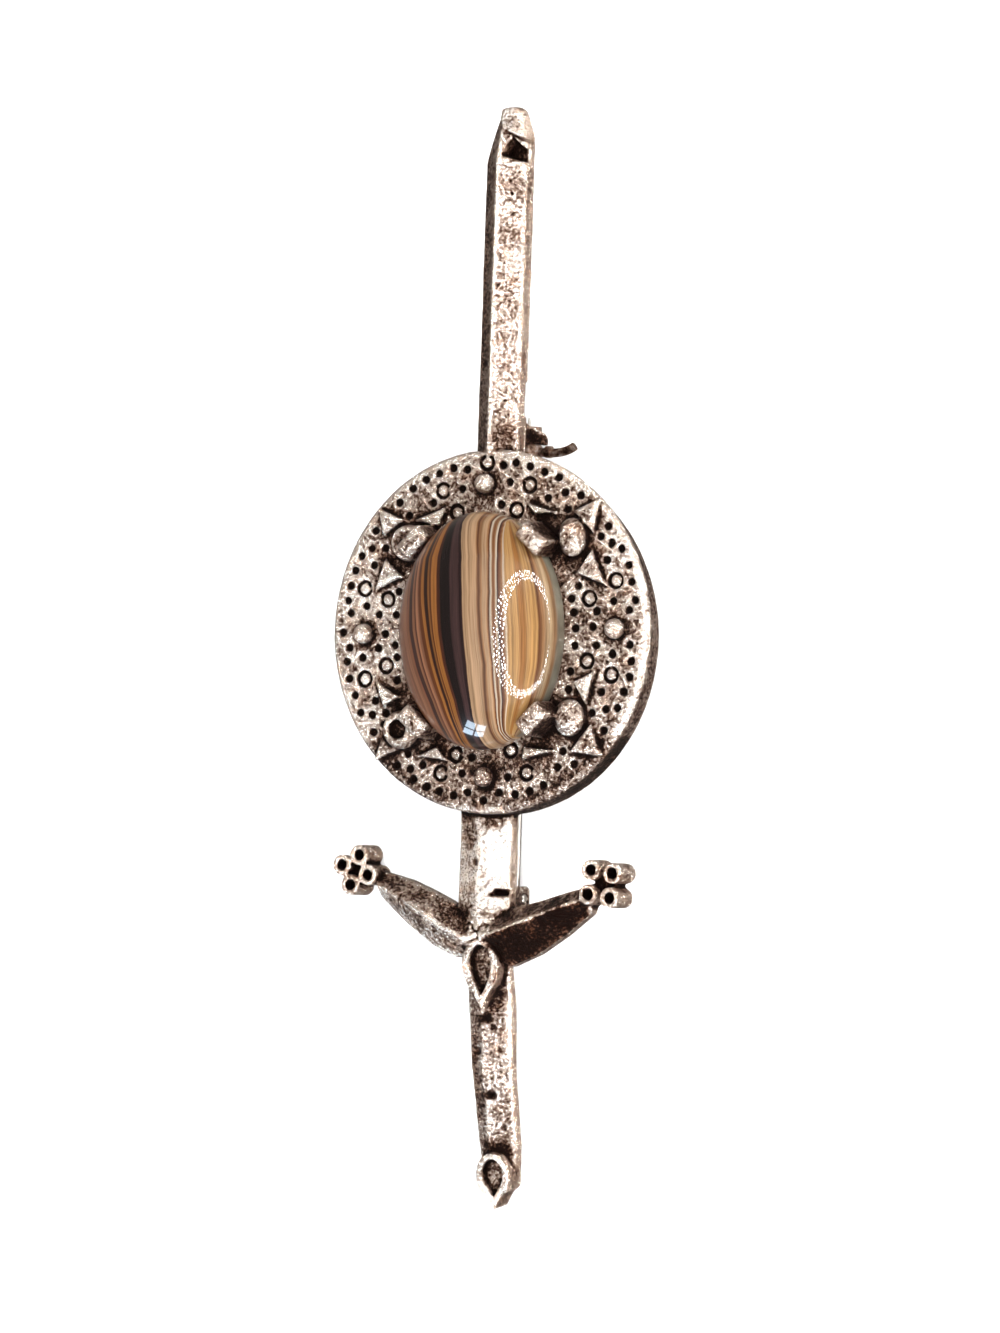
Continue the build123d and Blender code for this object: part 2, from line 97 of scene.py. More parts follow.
def ramp(node, stops):
    """Sets a colour ramp from (place, colour) stops."""
    band = node.color_ramp
    while len(band.elements) > 1:
        band.elements.remove(band.elements[-1])
    band.elements[0].position = stops[0][0]
    band.elements[0].color = (*stops[0][1], 1)
    for place, colour in stops[1:]:
        band.elements.new(place).color = (*colour, 1)


def new_material(name):
    """A material, its node tree and a dictionary that holds its shader as skin."""
    made = bpy.data.materials.new(name)
    made.use_nodes = True
    return made, made.node_tree, {"skin": made.node_tree.nodes["Principled BSDF"]}


def flat_place(tree):
    """Adds nodes that give a material the place on the flat brooch, in millimetres."""
    turn = lying.inverted() @ Matrix.Scale(1 / MM, 4)
    made = add_nodes(tree, [
        ("coordinates", "ShaderNodeTexCoord", {}),
        ("on_brooch", "ShaderNodeMapping", {"vector_type": "POINT"}),
    ])
    made["on_brooch"].inputs["Location"].default_value = turn.translation
    made["on_brooch"].inputs["Rotation"].default_value = turn.to_euler()
    made["on_brooch"].inputs["Scale"].default_value = (1 / MM,) * 3
    tree.links.new(made["coordinates"].outputs["Object"], made["on_brooch"].inputs["Vector"])
    return made["on_brooch"].outputs[0]


def dress(piece, material):
    """Gives a piece one material in place of those it has."""
    piece.data.materials.clear()
    piece.data.materials.append(material)


antiqued, tree, n = new_material("antiqued_silver")
place = flat_place(tree)
n.update(add_nodes(tree, [
    ("fine", "ShaderNodeAttribute", {"attribute_name": "hollow_fine"}),
    ("wide", "ShaderNodeAttribute", {"attribute_name": "hollow_wide"}),
    ("broad", "ShaderNodeAttribute", {"attribute_name": "hollow_broad"}),
    ("stain_and_painted_light", "ShaderNodeAttribute", {"attribute_name": "stain_and_painted_light"}),
    ("warmth", "ShaderNodeAttribute", {"attribute_name": "warmth"}),
    ("fine_dark", "ShaderNodeMapRange", {"From Min": -0.02, "From Max": 0.035, "To Min": -0.18,
                                         "To Max": 0.42}),
    ("wide_dark", "ShaderNodeMapRange", {"From Min": -0.12, "From Max": 0.2, "To Min": -0.12,
                                         "To Max": 0.42}),
    ("broad_dark", "ShaderNodeMapRange", {"From Min": -0.5, "From Max": 0.9, "To Min": -0.08,
                                          "To Max": 0.3}),
    ("cloud", "ShaderNodeTexNoise", {"Scale": 0.5, "Detail": 6.0, "Roughness": 0.72}),
    ("speck", "ShaderNodeTexNoise", {"Scale": 4.0, "Detail": 5.0, "Roughness": 0.75}),
    ("cloud_dark", "ShaderNodeMapRange", {"From Min": 0.34, "From Max": 0.66, "To Min": -0.2,
                                          "To Max": 0.26}),
    ("speck_dark", "ShaderNodeMapRange", {"From Min": 0.38, "From Max": 0.62, "To Min": -0.3,
                                          "To Max": 0.46}),
    ("outward", "ShaderNodeTexCoord", {}),
    ("flat_normal", "ShaderNodeMapping", {"vector_type": "NORMAL"}),
    ("facing", "ShaderNodeSeparateXYZ", {}),
    ("side_dark", "ShaderNodeMapRange", {"From Min": 0.15, "From Max": 0.8, "To Min": 0.16, "To Max": 0.0}),
    # faces turned to the left are given painted shade, darker as if turned away from the key light on the
    # right
    ("left_painted_shade", "ShaderNodeMapRange", {"From Min": -0.65, "From Max": -0.2, "To Min": 0.06, "To Max": 0.0}),
    ("bath", "ShaderNodeMath", {"operation": "ADD", 1: bath_everywhere, "use_clamp": True}),
    ("tone", "ShaderNodeValToRGB", {}),
    ("blush_noise", "ShaderNodeTexNoise", {"Scale": 0.9, "Detail": 3.0}),
    ("blush", "ShaderNodeMapRange", {"From Min": 0.5, "From Max": 0.74, "To Min": 0.0, "To Max": 0.5}),
    ("warm", "ShaderNodeMath", {"operation": "MULTIPLY_ADD", 1: 0.7}),
    ("tinted", "ShaderNodeMix", {"data_type": "RGBA", "blend_type": "MULTIPLY"}),
    ("rough", "ShaderNodeMapRange", {"From Min": 0.1, "From Max": 0.9, "To Min": 0.24, "To Max": 0.55}),
    ("metal", "ShaderNodeMapRange", {"From Min": 0.35, "From Max": 1.0, "To Min": 1.0, "To Max": 0.9}),
    ("grain", "ShaderNodeTexNoise", {"Scale": 4.2, "Detail": 6.0, "Roughness": 0.72}),
    ("bumps", "ShaderNodeBump", {"Strength": 1.0, "Distance": 0.16 * MM}),
]))
ramp(n["tone"], [(0.0, bright_metal), (0.28, worn_metal), (0.55, bath_brown), (0.95, bath_black)])
n["tinted"].inputs["B"].default_value = (*[c / max(copper_blush) for c in copper_blush], 1)
n["flat_normal"].inputs["Rotation"].default_value = lying.inverted().to_euler()
n["skin"].inputs["Specular IOR Level"].default_value = 0.15
for noise in ("cloud", "speck", "blush_noise", "grain"):
    tree.links.new(place, n[noise].inputs["Vector"])
wire(tree, n, [
    ("fine", "Fac", "fine_dark", 0), ("wide", "Fac", "wide_dark", 0), ("broad", "Fac", "broad_dark", 0),
    ("cloud", 0, "cloud_dark", 0), ("speck", 0, "speck_dark", 0),
    ("outward", "Normal", "flat_normal", "Vector"), ("flat_normal", 0, "facing", 0),
    ("facing", "Z", "side_dark", 0), ("facing", "X", "left_painted_shade", 0),
])
# all that darkens a place is added up: hollows, clouds, specks, the way it faces, with painted shade on faces
# turned left, and the stains, among which are painted shade and painted highlights
darkness = ("fine_dark", "wide_dark", "broad_dark", "cloud_dark", "speck_dark", "side_dark", "left_painted_shade")
all_dark = add_up(tree, [n[name].outputs[0] for name in darkness] + [n["stain_and_painted_light"].outputs["Fac"]])
tree.links.new(all_dark, n["bath"].inputs[0])
wire(tree, n, [
    ("bath", 0, "tone", 0), ("bath", 0, "rough", 0), ("bath", 0, "metal", 0),
    ("blush_noise", 0, "blush", 0), ("warmth", "Fac", "warm", 0), ("blush", 0, "warm", 2),
    ("warm", 0, "tinted", "Factor"), ("tone", 0, "tinted", "A"),
    ("tinted", "Result", "skin", "Base Color"), ("rough", 0, "skin", "Roughness"),
    ("metal", 0, "skin", "Metallic"), ("grain", 0, "bumps", "Height"), ("bumps", 0, "skin", "Normal"),
])

# sizes of the cast skin in millimetres, and over how many rounds each hollow is measured
skin_sizes = (("Lump height", 0.09), ("Grain height", 0.05), ("Pinhole depth", 0.07))
hollow_rounds = (("hollow_fine", 5), ("hollow_wide", 45), ("hollow_broad", 320))


def add_hollow(tree, n, before, name, rounds):
    """Stores how far each point lies below its blurred surroundings, along its normal."""
    blur, off, dot = name + "_blur", name + "_off", name + "_dot"
    n.update(add_nodes(tree, [
        (blur, "GeometryNodeBlurAttribute", {"data_type": "FLOAT_VECTOR", "Iterations": rounds}),
        (off, "ShaderNodeVectorMath", {"operation": "SUBTRACT"}),
        (dot, "ShaderNodeVectorMath", {"operation": "DOT_PRODUCT"}),
        (name, "GeometryNodeStoreNamedAttribute", {"data_type": "FLOAT", "domain": "POINT", "Name": name}),
    ]))
    blur_in = next(i for i, s in enumerate(n[blur].inputs) if s.enabled and s.type == "VECTOR")
    blur_out = next(i for i, s in enumerate(n[blur].outputs) if s.enabled)
    value = next(i for i, s in enumerate(n[name].inputs) if s.enabled and s.name == "Value")
    wire(tree, n, [
        ("place", 0, blur, blur_in), (blur, blur_out, off, 0), ("place", 0, off, 1), (off, 0, dot, 0),
        ("normal", 0, dot, 1), (dot, "Value", name, value), (before, "Geometry", name, "Geometry"),
    ])


def cast_skin(material):
    """Hammered lumps, sand grain and pinholes along the normal, then how deep each place lies."""
    tree = bpy.data.node_groups.new("cast_skin", "GeometryNodeTree")
    face = tree.interface
    face.new_socket("Geometry", in_out="INPUT", socket_type="NodeSocketGeometry")
    for name, size in skin_sizes:
        face.new_socket(name, in_out="INPUT", socket_type="NodeSocketFloat").default_value = size
    face.new_socket("Geometry", in_out="OUTPUT", socket_type="NodeSocketGeometry")
    n = add_nodes(tree, [
        ("in", "NodeGroupInput", {}),
        ("out", "NodeGroupOutput", {}),
        ("place", "GeometryNodeInputPosition", {}),
        ("normal", "GeometryNodeInputNormal", {}),
        ("lumps", "ShaderNodeTexNoise", {"noise_dimensions": "4D", "W": 3.0, "Scale": 0.42, "Detail": 2.0}),
        ("grain", "ShaderNodeTexNoise", {"noise_dimensions": "4D", "W": 8.0, "Scale": 1.7, "Detail": 4.0,
                                         "Roughness": 0.62}),
        ("pinholes", "ShaderNodeTexVoronoi", {"voronoi_dimensions": "4D", "W": 5.0, "Scale": 1.15}),
        ("crowd", "ShaderNodeTexNoise", {"noise_dimensions": "4D", "W": 1.0, "Scale": 0.3}),
        ("lump", "ShaderNodeMath", {"operation": "MULTIPLY_ADD", 1: 1.0, 2: -0.5}),
        ("lump_up", "ShaderNodeMath", {"operation": "MULTIPLY"}),
        ("grained", "ShaderNodeMath", {"operation": "MULTIPLY_ADD", 1: 1.0, 2: -0.5}),
        ("grain_up", "ShaderNodeMath", {"operation": "MULTIPLY"}),
        ("hole", "ShaderNodeMapRange", {"From Min": 0.16, "From Max": 0.3, "To Min": 1.0, "To Max": 0.0}),
        ("crowded", "ShaderNodeMapRange", {"From Min": 0.5, "From Max": 0.62}),
        ("hole_here", "ShaderNodeMath", {"operation": "MULTIPLY"}),
        ("hole_down", "ShaderNodeMath", {"operation": "MULTIPLY"}),
        ("sum", "ShaderNodeMath", {"operation": "ADD"}),
        ("rise", "ShaderNodeMath", {"operation": "SUBTRACT"}),
        ("along", "ShaderNodeVectorMath", {"operation": "SCALE"}),
        ("move", "GeometryNodeSetPosition", {}),
        ("realized", "GeometryNodeRealizeInstances", {}),
        ("dressed", "GeometryNodeSetMaterial", {"Material": material}),
    ])
    wire(tree, n, [
        ("lumps", 0, "lump", 0), ("lump", 0, "lump_up", 0), ("in", "Lump height", "lump_up", 1),
        ("grain", 0, "grained", 0), ("grained", 0, "grain_up", 0), ("in", "Grain height", "grain_up", 1),
        ("pinholes", 0, "hole", 0), ("crowd", 0, "crowded", 0), ("hole", 0, "hole_here", 0),
        ("crowded", 0, "hole_here", 1), ("hole_here", 0, "hole_down", 0),
        ("in", "Pinhole depth", "hole_down", 1), ("lump_up", 0, "sum", 0), ("grain_up", 0, "sum", 1),
        ("sum", 0, "rise", 0), ("hole_down", 0, "rise", 1), ("normal", 0, "along", 0),
        ("rise", 0, "along", "Scale"), ("in", 0, "move", "Geometry"), ("along", 0, "move", "Offset"),
    ])
    before = "move"
    for name, rounds in hollow_rounds:
        add_hollow(tree, n, before, name, rounds)
        before = name
    wire(tree, n, [
        (before, "Geometry", "realized", 0), ("realized", 0, "dressed", 0), ("dressed", 0, "out", 0),
    ])
    return tree


def new_object(name, data):
    """A mesh or a camera as an object in the scene, at the origin."""
    made = bpy.data.objects.new(name, data)
    bpy.context.collection.objects.link(made)
    return made


def as_mesh(piece):
    """Turns the piece's evaluated shape into a plain mesh, and removes its modifiers."""
    graph = bpy.context.evaluated_depsgraph_get()
    made = bpy.data.meshes.new_from_object(piece.evaluated_get(graph), depsgraph=graph)
    piece.modifiers.clear()
    piece.data = made


# the mesh is made an even net first, in millimetres, so that the tumbling works alike all over
weld_distance = 0.002
skin_voxel = 0.125
triangle_limit = 190000
casting = new_object("antiqued_casting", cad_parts["cast_body"].data.copy())
welded = bmesh.new()
welded.from_mesh(casting.data)
bmesh.ops.remove_doubles(welded, verts=welded.verts, dist=weld_distance * MM)
welded.to_mesh(casting.data)
welded.free()
casting.data.transform(Matrix.Scale(1 / MM, 4))
remesh = casting.modifiers.new("even_skin", "REMESH")
remesh.mode = "VOXEL"
remesh.voxel_size = skin_voxel
as_mesh(casting)
to_flat = np.array(lying.inverted())
to_sword = np.array(sword_axis.inverted()) @ to_flat


def points_of(piece):
    """Vertex places and normals, and the same places on the flat brooch and on the sword, as arrays."""
    count = len(piece.data.vertices) * 3
    spots, normals = np.empty(count), np.empty(count)
    piece.data.vertices.foreach_get("co", spots)
    piece.data.vertices.foreach_get("normal", normals)
    spots, normals = spots.reshape(-1, 3), normals.reshape(-1, 3)
    flat = spots @ to_flat[:3, :3].T + to_flat[:3, 3]
    on_sword = spots @ to_sword[:3, :3].T + to_sword[:3, 3]
    return spots, normals, flat, on_sword


# tumbling rounds the edges, least on the guard and most on the claws' tops; these limits part the places
shield_face = 14.6
guard_place = -24.0
guard_reach = 6.0
neck_half = 1.4
relief_foot = 3.15
claw_middle = 4.4
spots, normals, flat, on_sword = points_of(casting)
on_shield = np.hypot(flat[:, 0], flat[:, 1]) < shield_face
in_guard = (np.abs(on_sword[:, 1] - guard_place) < guard_reach) & (np.abs(on_sword[:, 0]) > neck_half)
for name, part, rounds in (
    ("bars", ~on_shield & ~in_guard, 7),
    ("guard", in_guard, 2),
    ("relief", on_shield & (flat[:, 2] > relief_foot), 8),
    ("tops", on_shield & (flat[:, 2] > claw_middle), 34),
):
    casting.vertex_groups.new(name=name).add(np.nonzero(part)[0].tolist(), 1.0, "REPLACE")
    tumble = casting.modifiers.new("tumbled_" + name, "SMOOTH")
    tumble.vertex_group = name
    tumble.factor = 0.5
    tumble.iterations = rounds
as_mesh(casting)

# dents of the casting in the sword's own axes: across, along, radius, depth, in millimetres
dents = [
    (0.1, -38.9, 0.62, 0.32), (-0.1, -32.3, 0.75, 0.14), (0.5, -33.2, 0.5, 0.12), (-1.0, -35.2, 0.5, 0.14),
    (0.9, -41.6, 0.45, 0.12), (-0.4, -44.0, 0.5, 0.1), (0.3, 29.0, 0.5, 0.08), (-0.9, 22.5, 0.5, 0.1),
    (1.2, 35.1, 0.4, 0.1), (-0.6, -19.3, 0.5, 0.14), (0.9, -22.0, 0.45, 0.12), (-7.4, -22.6, 0.7, 0.16),
    (6.3, -24.0, 0.6, 0.14), (-4.1, -25.1, 0.5, 0.12), (1.0, 39.6, 0.4, 0.12),
]
# the granules where the neck meets the guard: across, along; they are dents turned outwards
granules = [
    (-0.62, -24.34), (-0.27, -24.75), (-0.69, -25.15), (0.05, -24.45), (0.39, -24.91), (0.74, -25.38),
    (-0.25, -25.42), (0.19, -25.26), (-0.57, -25.61), (-0.82, -24.77), (0.59, -24.18), (1.06, -24.89),
    (0.32, -25.68),
]
granule_radius = 0.3
granule_height = 0.16
dents += [(across, along, granule_radius, -granule_height) for across, along in granules]
# a dent takes skin that faces the front at least this much
dent_facing = 0.1

spots, normals, flat, on_sword = points_of(casting)
flat_normals = normals @ to_flat[:3, :3].T
for across, along, radius, depth in dents:
    away = np.hypot(on_sword[:, 0] - across, on_sword[:, 1] - along) / radius
    dent = np.where((away < 1) & (flat_normals[:, 2] > dent_facing), (1 - away**2) ** 2, 0)
    spots -= normals * (dent * depth)[:, None]
casting.data.vertices.foreach_set("co", spots.ravel())

# clouds of the bath and coppery rubs, in the sword's own axes: across, along, half width, half length, turn
# in degrees, how much darker, how much warmer. Among them the dark patch at across 1.3, along -30.3 is a
# painted shadow, and the lighter ones down the right-hand facets of the blade, the neck and the grip are
# painted highlights where those facets face the key light
patches = [
    (-0.3, -32.5, 1.1, 0.6, 0, 0.6, 0.2), (-0.55, -39.0, 0.6, 0.6, 0, 0.7, 0.1),
    (0.2, -43.3, 2.0, 0.6, -8, 0.5, 0.2), (1.3, -30.3, 0.4, 0.5, 0, 0.5, 0.0),
    (0.9, -26.2, 0.9, 0.7, 0, 0.5, 0.4), (1.7, -22.0, 1.0, 0.35, 0, 0.7, 0.2),
    (1.6, -22.9, 0.8, 0.6, 0, -0.35, 0.0), (-1.6, -23.5, 0.9, 1.0, 0, 0.5, 0.1),
    (1.2, -19.0, 1.5, 3.8, 0, -0.4, -0.2), (-3.4, -26.3, 2.6, 0.8, -12, 0.1, 0.2),
    (7.6, -23.0, 1.6, 0.8, 18, 0.3, 0.3), (-8.0, -22.6, 1.6, 0.9, -20, 0.2, 0.2),
    (0.9, 40.2, 0.9, 0.8, 0, 0.35, 0.4), (-1.5, 28.0, 0.5, 9.0, 0, 0.1, 0.8),
    (-1.5, -36.5, 0.6, 6.0, 0, 0.15, 0.6), (1.0, -16.0, 1.6, 0.6, 0, 0.3, 0.1),
    (-1.4, -17.0, 1.2, 1.6, 0, 0.2, 0.1), (0.6, 16.4, 1.6, 0.8, 0, 0.35, 0.1),
    (1.0, 28.0, 1.2, 13.0, 0, -0.2, 0.1), (0.5, -37.5, 1.2, 6.0, 0, -0.18, -0.1),
    (-12.1, -20.3, 3.0, 3.0, 0, 0.1, 0.4), (11.6, -20.8, 3.0, 3.0, 0, 0.08, 0.6),
    (-11.5, 0.0, 3.6, 10.0, 0, -0.16, 0.0), (0.5, -11.8, 8.0, 3.0, 0, 0.14, 0.1),
    (-1.5, -19.5, 1.2, 4.0, 0, -0.14, 0.1),
]
# a patch takes skin that faces the front at least this much, and fades over its outer two thirds
patch_facing = -0.2
patch_fade = 1.5
stain_and_painted_light = np.zeros(len(spots))
warmth = np.zeros(len(spots))
for across, along, half_width, half_length, turn, darker, warmer in patches:
    cosine, sine = math.cos(math.radians(turn)), math.sin(math.radians(turn))
    aside, onward = on_sword[:, 0] - across, on_sword[:, 1] - along
    away = np.hypot(
        (aside * cosine + onward * sine) / half_width, (onward * cosine - aside * sine) / half_length
    )
    share = np.clip(patch_fade - patch_fade * away, 0, 1) * (flat_normals[:, 2] > patch_facing)
    stain_and_painted_light += share * darker
    warmth += share * warmer

# what a region can be told by: places in millimetres, slopes as the parts of a normal in the sword's axes;
# clear_of_hinge is above 0 on the bars' own walls, and under 0 on the hinge lugs beneath the guard
slopes = normals @ to_sword[:3, :3].T
hinge_spread = 0.6
told_by = {
    "across": on_sword[:, 0],
    "aside": np.abs(on_sword[:, 0]),
    "along": on_sword[:, 1],
    "up_shield": flat[:, 1],
    "from_middle": np.hypot(flat[:, 0], flat[:, 1]),
    "height": flat[:, 2],
    "clear_of_hinge": flat[:, 2] + hinge_spread * np.abs(on_sword[:, 1] - guard_place),
    "slope_across": slopes[:, 0],
    "slope_along": slopes[:, 1],
    "slope_out": slopes[:, 2],
}
# a limit of far, past every place and slope, leaves that side open
far = 99.0
guard_arm = {"along": (-29.5, -18.5), "aside": (0.9, 10.2), "slope_out": (0.3, far)}
lower_slope = {**guard_arm, "slope_along": (-far, -0.25)}
bar_wall = {"aside": (-far, 2.7), "from_middle": (15.4, far), "clear_of_hinge": (0.0, far),
            "slope_out": (-far, 0.35)}
drop_floor = {"across": (-1.1, 0.9), "slope_out": (0.9, far)}
# regions that are darkened or lightened as a whole, some by the bath or the polish, some as painted shade
# and painted highlights: limits, how much darker, how much warmer
regions = [
    # the hook is given painted shade over its outer wall, and its slanted front a painted highlight
    ({"height": (-far, -1.0), "along": (15.0, far)}, 0.55, 0.0),
    ({"height": (-far, -1.0), "along": (16.2, far), "slope_along": (0.3, far)}, -0.9, 0.0),
    # the guard's lower right slope is made much darker and warmer, its lower left one lighter and the upper
    # ones a little darker
    ({**lower_slope, "across": (0.0, far)}, 0.74, 0.9),
    ({**lower_slope, "across": (-far, 0.0)}, -0.13, 0.0),
    ({**guard_arm, "slope_along": (0.25, far)}, 0.14, 0.0),
    # the guard's middle and the neck are made lighter
    ({"aside": (-far, 1.3), "along": (-26.3, -24.0), "slope_out": (0.2, far)}, -0.3, 0.0),
    ({"aside": (-far, 2.3), "along": (-24.5, -15.6), "slope_out": (0.5, far)}, -0.22, 0.0),
    # the tops of the shield's relief are darker and duller, partly painted shade for the dark surround that
    # the beads and bosses mirror, and its wall is darker at the bottom
    ({"from_middle": (-far, shield_face), "height": (3.45, far)}, 0.16, 0.0),
    ({"from_middle": (14.3, 15.6), "up_shield": (-far, -9.0), "height": (-far, 2.9), "aside": (2.5, far)},
     0.3, 0.0),
    ({"from_middle": (13.6, 15.6), "up_shield": (-far, -9.0)}, 0.12, 0.0),
    # the floors of the two hollow drops are lighter than other hollows
    ({**drop_floor, "along": (-30.8, -26.4), "height": (-far, 1.5)}, -0.2, 0.0),
    ({**drop_floor, "along": (-48.1, -44.3), "height": (-far, -1.9)}, -0.2, 0.0),
    # the hinge lugs are darker, and the bars' walls are lighter, a painted reflection of a brighter surround,
    # and warm
    ({"along": (-23.8, -20.8), "across": (-1.7, 1.1), "height": (-far, -0.2)}, 0.3, 0.0),
    ({**bar_wall, "slope_across": (-far, -0.6)}, -0.42, 0.0),
    ({**bar_wall, "slope_across": (0.6, far)}, -0.26, 0.0),
    (bar_wall, 0.0, 0.5),
]
for limits, darker, warmer in regions:
    inside = np.ones(len(spots), bool)
    for name, (least, most) in limits.items():
        inside &= (told_by[name] > least) & (told_by[name] < most)
    stain_and_painted_light += darker * inside
    warmth += warmer * inside
for name, values in (("stain_and_painted_light", stain_and_painted_light), ("warmth", warmth)):
    casting.data.attributes.new(name, "FLOAT", "POINT").data.foreach_set("value", values)

skin = casting.modifiers.new("cast_skin", "NODES")
skin.node_group = cast_skin(antiqued)
as_mesh(casting)
fewer = casting.modifiers.new("fewer_faces", "DECIMATE")
fewer.ratio = min(1.0, triangle_limit / (2 * len(casting.data.polygons)))
as_mesh(casting)
casting.data.transform(Matrix.Scale(MM, 4))
casting.data.polygons.foreach_set("use_smooth", [True] * len(casting.data.polygons))
dress(casting, antiqued)
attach(casting, "body")
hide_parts("cast_body")

# The stone: an oval cabochon of banded agate, cut with its bands running lengthwise, ground to a dome over a
# low upright girdle and polished to a glassy shine. The claws hold it down on the shield.
stone_half = (7.5, 10.0)
stone_seat = 2.91
girdle_height = 1.0
dome_height = 5.0
# the flat base and the girdle round it: share of the stone's half sizes, share of the girdle's height
girdle = [(0.0, 0.0), (0.5, 0.0), (0.97, 0.0), (0.99, 0.06), (0.998, 0.18), (1.0, 0.4), (1.0, 0.8)]
# how the bands bend: places along the stone, then where each guide line crosses there, in millimetres
guides = (-4.6, -2.7, -1.3, 1.12, 2.5, 3.25, 4.3)
bends = [
    (-8.5, (-2.4, -1.07, -0.22, 1.0, 2.15, 2.75, 3.1)),
    (-6.0, (-2.9, -1.4, -0.28, 1.2, 2.5, 3.23, 3.95)),
    (-3.0, (-3.9, -2.1, -0.87, 1.3, 2.77, 3.4, 4.28)),
    (0.0, guides),
    (3.0, (-4.8, -3.3, -1.55, 0.9, 2.3, 3.15, 4.0)),
    (6.0, (-5.0, -3.7, -2.0, 0.45, 1.9, 2.75, 3.6)),
    (9.0, (-4.3, -3.0, -1.95, -0.55, 1.0, 1.95, 2.9)),
]
# the least room that the bands past the last guide line are given, in millimetres
last_band = 0.3


def band_place(x, y):
    """Where a point of the stone lies among its bands: the guide lines are followed, then the right edge."""
    rows = [row for row, _ in bends]
    crossings = [np.interp(y, rows, [places[k] for _, places in bends]) for k in range(len(guides))]
    edge = stone_half[0] * math.sqrt(max(0.0, 1 - (y / stone_half[1]) ** 2))
    right = max(crossings[-1] + last_band, edge)
    left = crossings[0] - (stone_half[0] + guides[0])
    return float(np.interp(x, [left, *crossings, right], [-stone_half[0], *guides, stone_half[0]]))


def cabochon_mesh(around=160, up=64):
    """Rings of points from the flat base over the girdle to the top, laid as the brooch lies."""
    dome_foot = stone_seat + girdle_height
    rings = [(share, stone_seat + height * girdle_height) for share, height in girdle]
    for i in range(up):
        turn = 0.5 * math.pi * i / up
        rings.append((math.cos(turn), dome_foot + dome_height * math.sin(turn)))
    rings.append((0.0, dome_foot + dome_height))
    mesh = bmesh.new()
    rows = []
    for share, z in rings:
        if share == 0:
            rows.append([mesh.verts.new((0, 0, z))] * around)
            continue
        rows.append([
            mesh.verts.new((
                share * stone_half[0] * math.cos(2 * math.pi * k / around),
                share * stone_half[1] * math.sin(2 * math.pi * k / around), z,
            )) for k in range(around)
        ])
    for low, high in zip(rows[:-1], rows[1:]):
        for k in range(around):
            corners = [low[k], low[(k + 1) % around], high[(k + 1) % around], high[k]]
            mesh.faces.new([v for i, v in enumerate(corners) if v not in corners[:i]])
    bmesh.ops.recalc_face_normals(mesh, faces=mesh.faces)
    data = bpy.data.meshes.new("banded_cabochon")
    mesh.to_mesh(data)
    mesh.free()
    places = [band_place(vertex.co.x, vertex.co.y) for vertex in data.vertices]
    data.attributes.new("band_place", "FLOAT", "POINT").data.foreach_set("value", places)
    data.transform(Matrix.Scale(MM, 4) @ lying)
    data.polygons.foreach_set("use_smooth", [True] * len(data.polygons))
    return data


# the tent's light is strong, so the stone's colours are mixed darker than they show
stone_share = 0.45


def paint(red, green, blue):
    """A colour given as it shows on a screen, 0 to 255, turned to linear light and darkened."""
    return tuple(stone_share * ((c / 255 + 0.055) / 1.055) ** 2.4 for c in (red, green, blue))


mauve, grey_plum, pink = paint(126, 76, 50), paint(58, 31, 24), paint(152, 100, 70)
rust, umber, caramel, cocoa = paint(92, 46, 16), paint(44, 18, 7), paint(158, 98, 42), paint(70, 32, 14)
# the grey of the middle plum band is a painted reflection of the soft roof that the dome mirrors
plum, plum_sheen, wine = paint(20, 7, 8), paint(68, 45, 44), paint(38, 17, 18)
cream, tan, line_brown = paint(184, 146, 110), paint(158, 112, 74), paint(98, 56, 32)
white, honey, amber = paint(216, 196, 172), paint(186, 140, 86), paint(160, 106, 52)
pale, grey_edge = paint(186, 158, 122), paint(150, 146, 128)
# bands from the left edge to the right, by their place across the stone's middle in millimetres; two ramps
# share them, as one holds no more than 32
ramps_meet = 1.12
left_bands = [
    (-7.5, mauve), (-5.7, mauve), (-5.5, pink), (-4.85, mauve), (-4.7, grey_plum), (-4.35, grey_plum),
    (-4.2, pink), (-3.95, mauve), (-3.85, grey_plum), (-3.75, pink), (-3.4, pink), (-3.25, rust),
    (-2.95, rust), (-2.85, caramel), (-2.6, caramel), (-2.5, umber), (-2.25, umber), (-2.15, caramel),
    (-1.95, cocoa), (-1.85, caramel), (-1.45, caramel), (-1.35, cocoa), (-1.1, cocoa), (-1.0, plum),
    (-0.15, plum), (0.05, plum_sheen), (0.65, plum_sheen), (0.8, wine), (1.02, wine), (1.12, cream),
]
right_bands = [
    (1.12, cream), (2.25, cream), (2.35, tan), (2.48, line_brown), (2.7, tan), (2.8, cream), (3.05, cream),
    (3.15, tan), (3.25, line_brown), (3.33, line_brown), (3.38, white), (3.5, white), (3.55, tan),
    (3.68, line_brown), (3.85, tan), (3.9, white), (4.0, white), (4.05, grey_plum), (4.25, line_brown),
    (4.5, tan), (4.62, white), (4.75, honey), (5.5, honey), (5.65, amber), (5.95, amber), (6.1, honey),
    (6.65, honey), (6.78, line_brown), (6.95, tan), (7.3, pale), (7.44, tan), (7.49, grey_edge),
]
# how far the bands tremble, from one side to the other, in millimetres
band_tremble = 0.08

